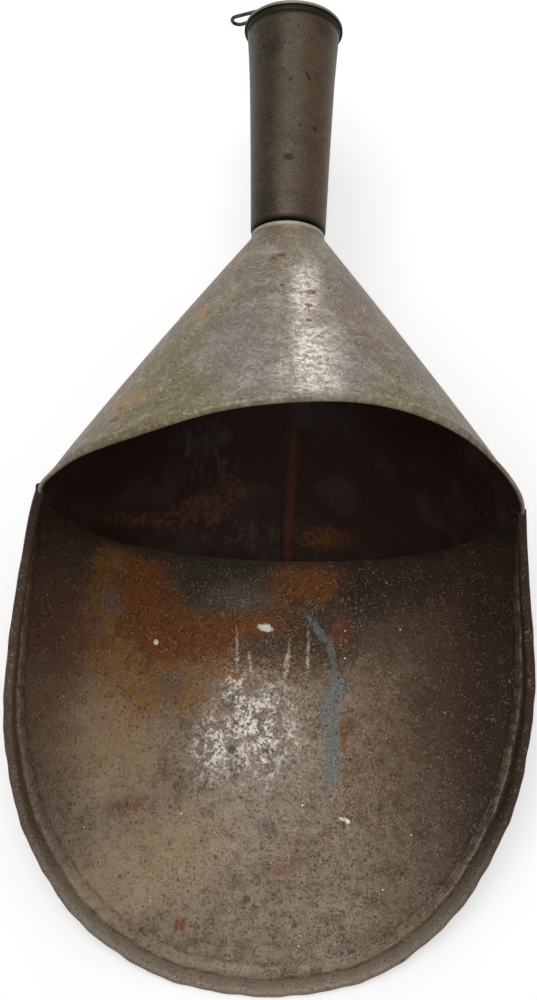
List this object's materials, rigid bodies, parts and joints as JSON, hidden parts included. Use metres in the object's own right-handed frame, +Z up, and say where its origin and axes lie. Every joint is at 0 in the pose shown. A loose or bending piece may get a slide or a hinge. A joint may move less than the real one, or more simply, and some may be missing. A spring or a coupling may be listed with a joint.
{
  "type": "grain scoop",
  "caption": "Sheet-steel grain scoop: a round-nosed pan with a folded rim, a cone that hoods its back, a tapered tube handle and a wire hang loop that swings.",
  "frame": {"origin": "middle of the flat along the pan's underside, which the scoop rests on", "axes": "+Y along the scoop towards the handle's end, +Z up out of the open pan, +X to the right seen from the nose with the handle pointing away"},
  "size_m": [0.2204, 0.4188, 0.1849],
  "materials": {
    "pan_steel": "old tinned sheet steel, tin mostly gone, brown rust with worn silver patches",
    "cone_steel": "old tinned sheet steel, dull warm grey with small rust spots",
    "handle_steel": "old tinned sheet steel, dark olive brown, rubbed by hands",
    "wire_steel": "dark drawn steel wire, dull",
    "solder": "aged soft solder, dull grey, stained brown"
  },
  "bodies": {
    "scoop_body": {"pan_sheet": "pan_steel", "pan_rim_wire": "wire_steel", "cone_sheet": "cone_steel", "hood_rim_wire": "wire_steel", "cone_seam_solder": "solder", "pan_seam_solder": "solder", "corner_solder_left": "solder", "corner_solder_right": "solder", "handle_tube": "handle_steel", "handle_seam_solder": "solder", "neck_solder": "solder", "handle_cap": "handle_steel", "loop_strap": "handle_steel", "strap_solder_outer": "solder", "strap_solder_inner": "solder"},
    "hang_loop": {"hang_loop": "wire_steel"}
  },
  "joints": [
    {"name": "hang_loop_swing", "type": "hinge", "parent": "scoop_body", "child": "hang_loop", "pos_m": [-0.01315, 0.31625, 0.10563], "axis": [0.503, 0, -0.8643], "range_deg": [0, 180]}
  ]
}
